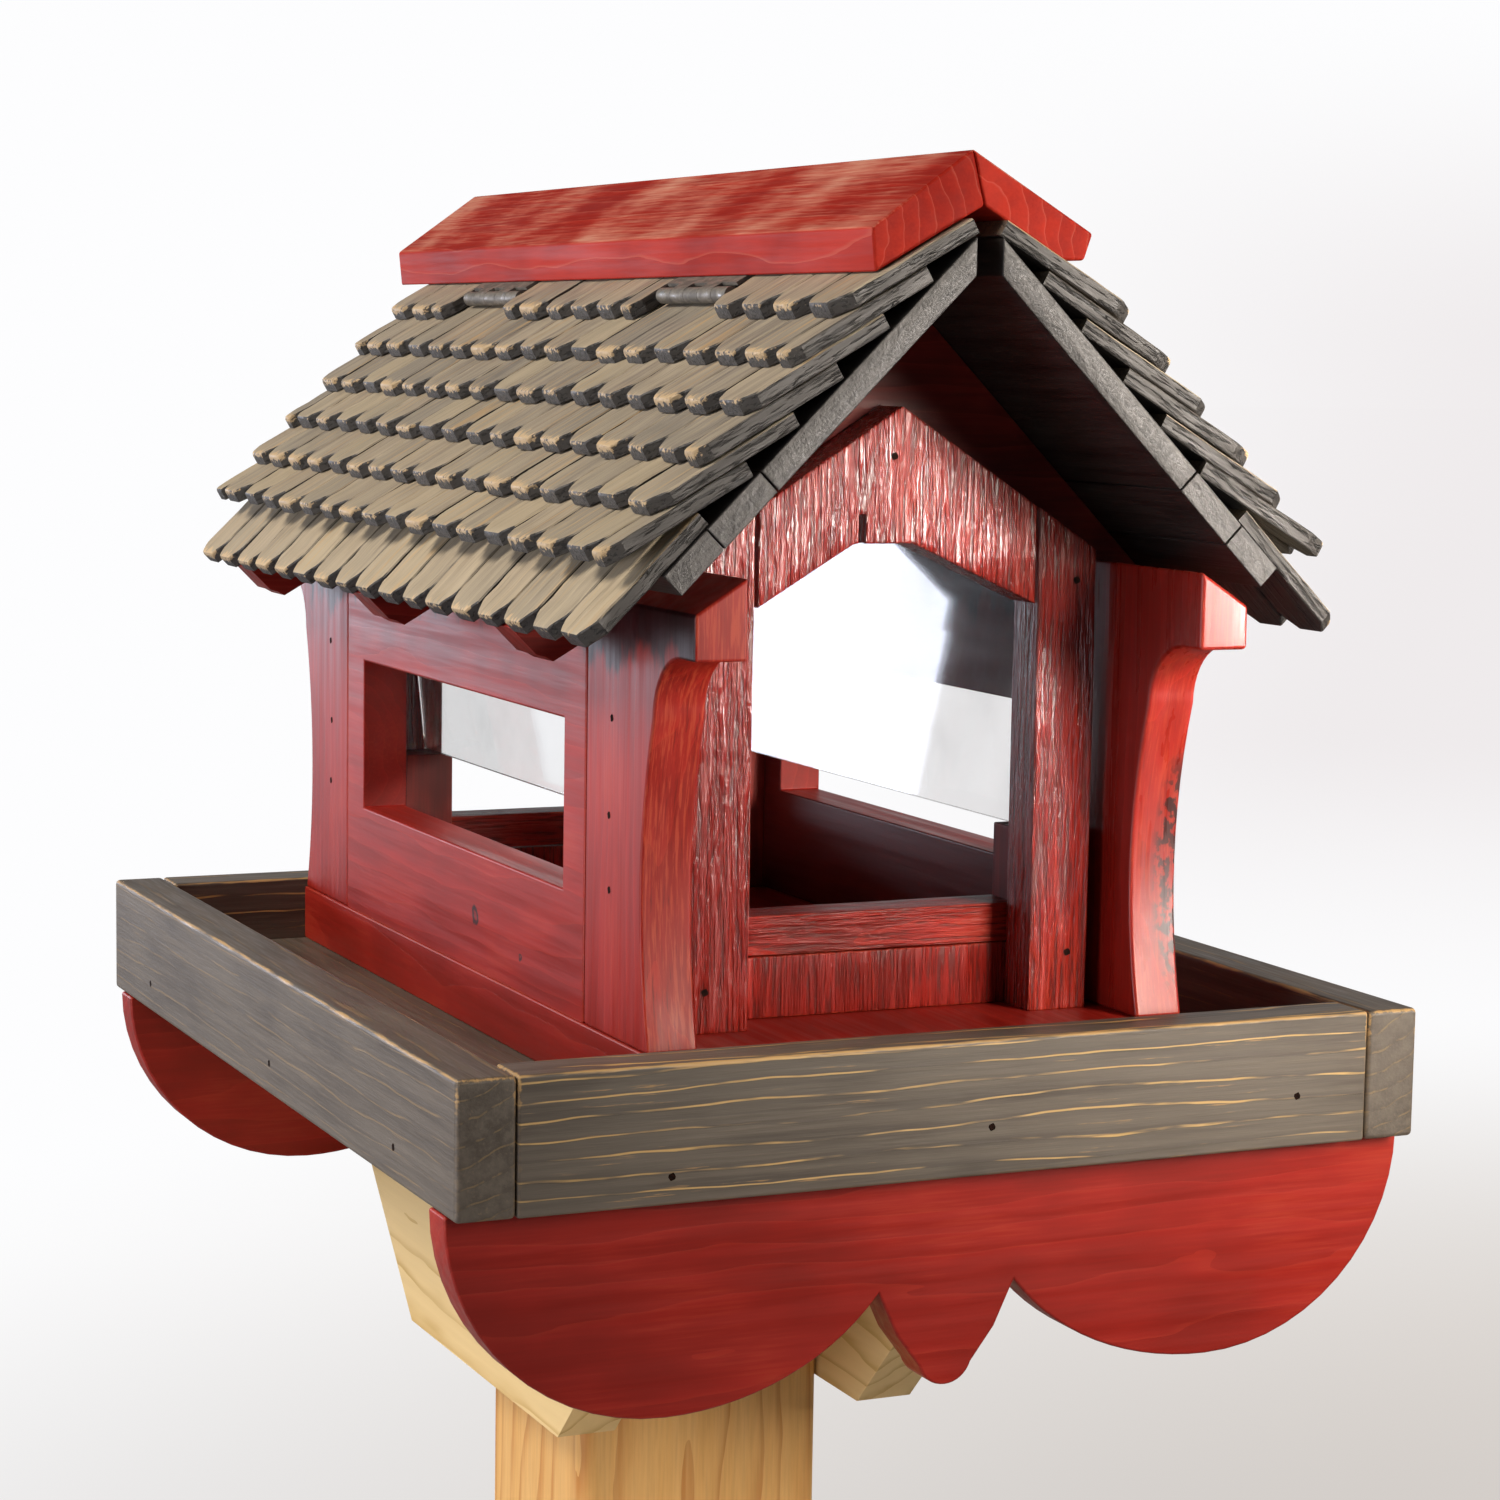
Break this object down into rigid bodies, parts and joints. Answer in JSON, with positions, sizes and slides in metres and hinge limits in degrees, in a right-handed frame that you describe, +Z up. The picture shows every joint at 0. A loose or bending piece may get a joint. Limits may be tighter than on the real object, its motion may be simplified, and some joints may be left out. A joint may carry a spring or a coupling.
{
  "type": "bird feeder",
  "caption": "Open timber bird house with a shingled gable roof and a hinged ridge cap, on a railed tray with scalloped aprons, carried on a square post.",
  "frame": {"origin": "centre of the post's flat foot", "axes": "+Z up along the post, -Y towards a person facing the arched front, +X to that person's right"},
  "size_m": [0.35, 0.4655, 0.6152],
  "materials": {
    "red_painted_wood": "satin paint",
    "grey_stained_wood": "worn stain",
    "charcoal_wood": "dark stain",
    "taupe_shingle": "worn stain",
    "pine": "planed",
    "treated_pine": "planed",
    "clear_pane": "clear acrylic",
    "hinge_steel": "stained over",
    "zinc_steel": "zinc plated"
  },
  "bodies": {
    "root": {"post": "pine", "bearer_left": "treated_pine", "bearer_right": "treated_pine", "bearer_screws": "zinc_steel", "tray_floor": "grey_stained_wood", "rail_left": "grey_stained_wood", "rail_right": "grey_stained_wood", "rail_front": "grey_stained_wood", "rail_back": "grey_stained_wood", "apron_front": "red_painted_wood", "apron_rear": "red_painted_wood", "base_board": "red_painted_wood", "corner_front_left": "red_painted_wood", "corner_front_right": "red_painted_wood", "corner_back_left": "red_painted_wood", "corner_back_right": "red_painted_wood", "wall_left": "red_painted_wood", "wall_right": "red_painted_wood", "front_stile_left": "red_painted_wood", "front_stile_right": "red_painted_wood", "front_head": "red_painted_wood", "back_stile_left": "red_painted_wood", "back_stile_right": "red_painted_wood", "back_head": "red_painted_wood", "front_sill_lower": "red_painted_wood", "front_sill_upper": "red_painted_wood", "back_sill_lower": "red_painted_wood", "back_sill_upper": "red_painted_wood", "corner_strips": "red_painted_wood", "pane_left": "clear_pane", "pane_right": "clear_pane", "truss_front": "red_painted_wood", "truss_middle": "red_painted_wood", "truss_back": "red_painted_wood", "deck_left_upper": "charcoal_wood", "deck_left_middle": "charcoal_wood", "deck_left_lower": "charcoal_wood", "deck_right_upper": "charcoal_wood", "deck_right_middle": "charcoal_wood", "deck_right_lower": "charcoal_wood", "shingles_left_1": "taupe_shingle", "shingles_left_2": "taupe_shingle", "shingles_left_3": "taupe_shingle", "shingles_left_4": "taupe_shingle", "shingles_left_5": "taupe_shingle", "shingles_left_6": "taupe_shingle", "shingles_left_7": "taupe_shingle", "shingles_right_1": "taupe_shingle", "shingles_right_2": "taupe_shingle", "shingles_right_3": "taupe_shingle", "shingles_right_4": "taupe_shingle", "shingles_right_5": "taupe_shingle", "shingles_right_6": "taupe_shingle", "shingles_right_7": "taupe_shingle", "hinge_leaves_roof": "hinge_steel", "hinge_pins": "hinge_steel"},
    "ridge_cap": {"cap_board_left": "red_painted_wood", "cap_board_right": "red_painted_wood", "hinge_leaves_cap": "hinge_steel"}
  },
  "joints": [
    {"name": "cap_hinge", "type": "hinge", "parent": "root", "child": "ridge_cap", "pos_m": [-0.02593, 0, 0.56959], "axis": [0, -1, 0], "range_deg": [0, 115]}
  ]
}
